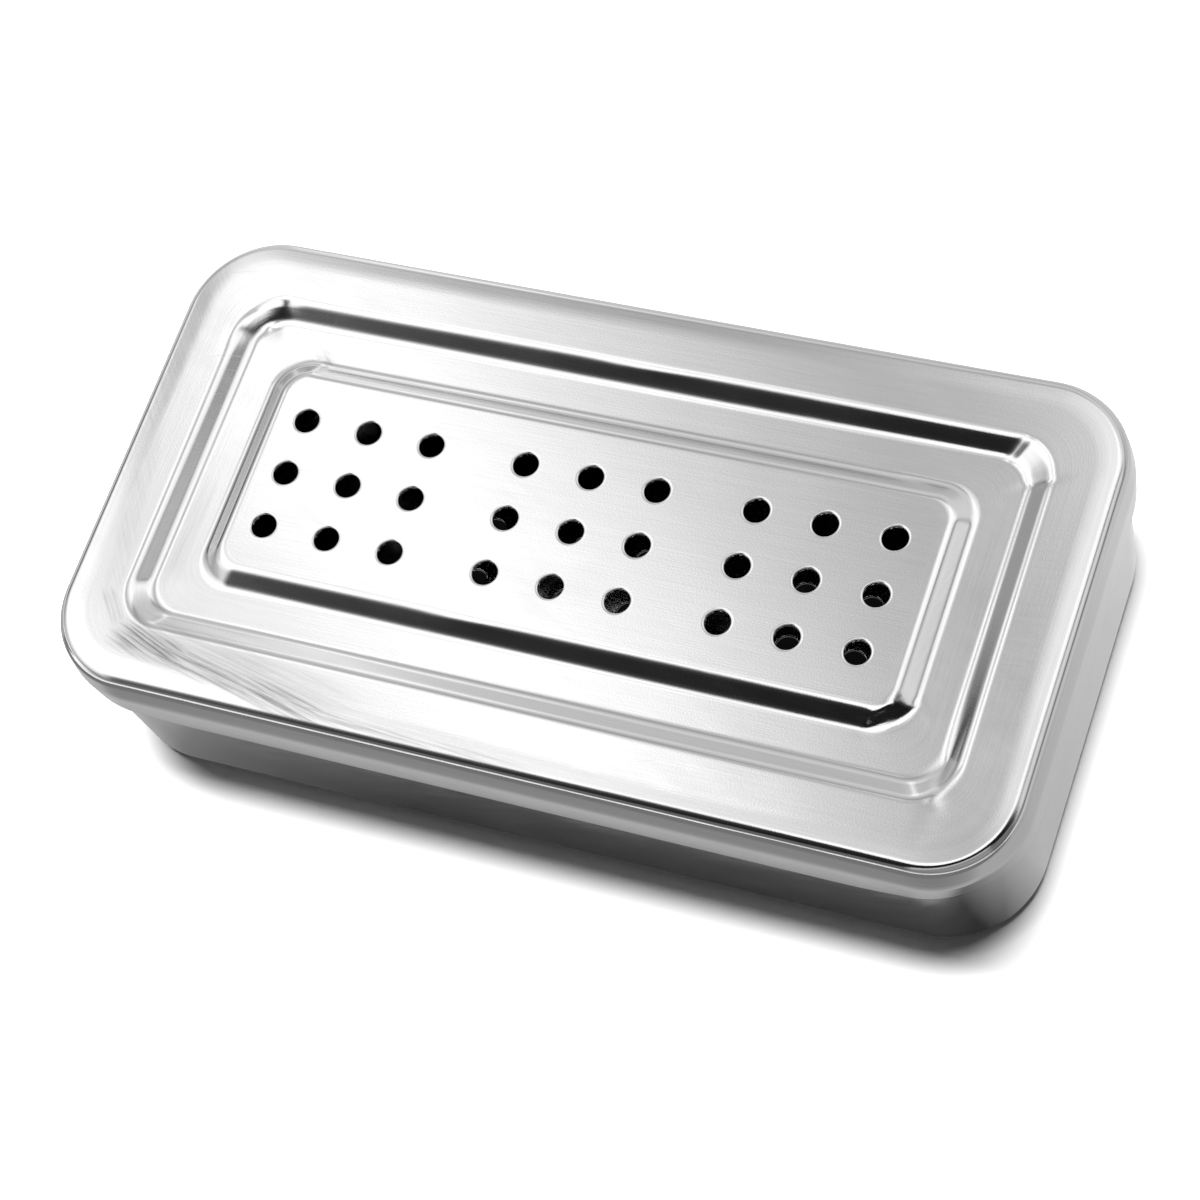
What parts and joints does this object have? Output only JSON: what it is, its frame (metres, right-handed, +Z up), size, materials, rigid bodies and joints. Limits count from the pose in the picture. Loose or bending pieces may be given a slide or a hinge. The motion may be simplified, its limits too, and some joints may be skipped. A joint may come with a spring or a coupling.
{
  "type": "perforated instrument box",
  "caption": "Shallow stainless steel box with rounded corners, a perforated drop-on lid with a pressed stiffening channel, and a perforated tray base.",
  "frame": {"origin": "centre of the footprint, on the surface the base stands on", "axes": "+X along the long side, +Y along the short side, +Z up through the lid"},
  "size_m": [0.2022, 0.1048, 0.043],
  "materials": {
    "base_steel": "satin brushed, grain along the long side",
    "lid_steel": "satin brushed with fine wipe scratches"
  },
  "bodies": {
    "base_body": {"base": "base_steel"},
    "lid_body": {"lid": "lid_steel"}
  },
  "joints": [
    {"name": "lid_lift", "type": "slide", "parent": "base_body", "child": "lid_body", "axis": [0, 0, 1], "range_m": [0, 0.06]}
  ]
}
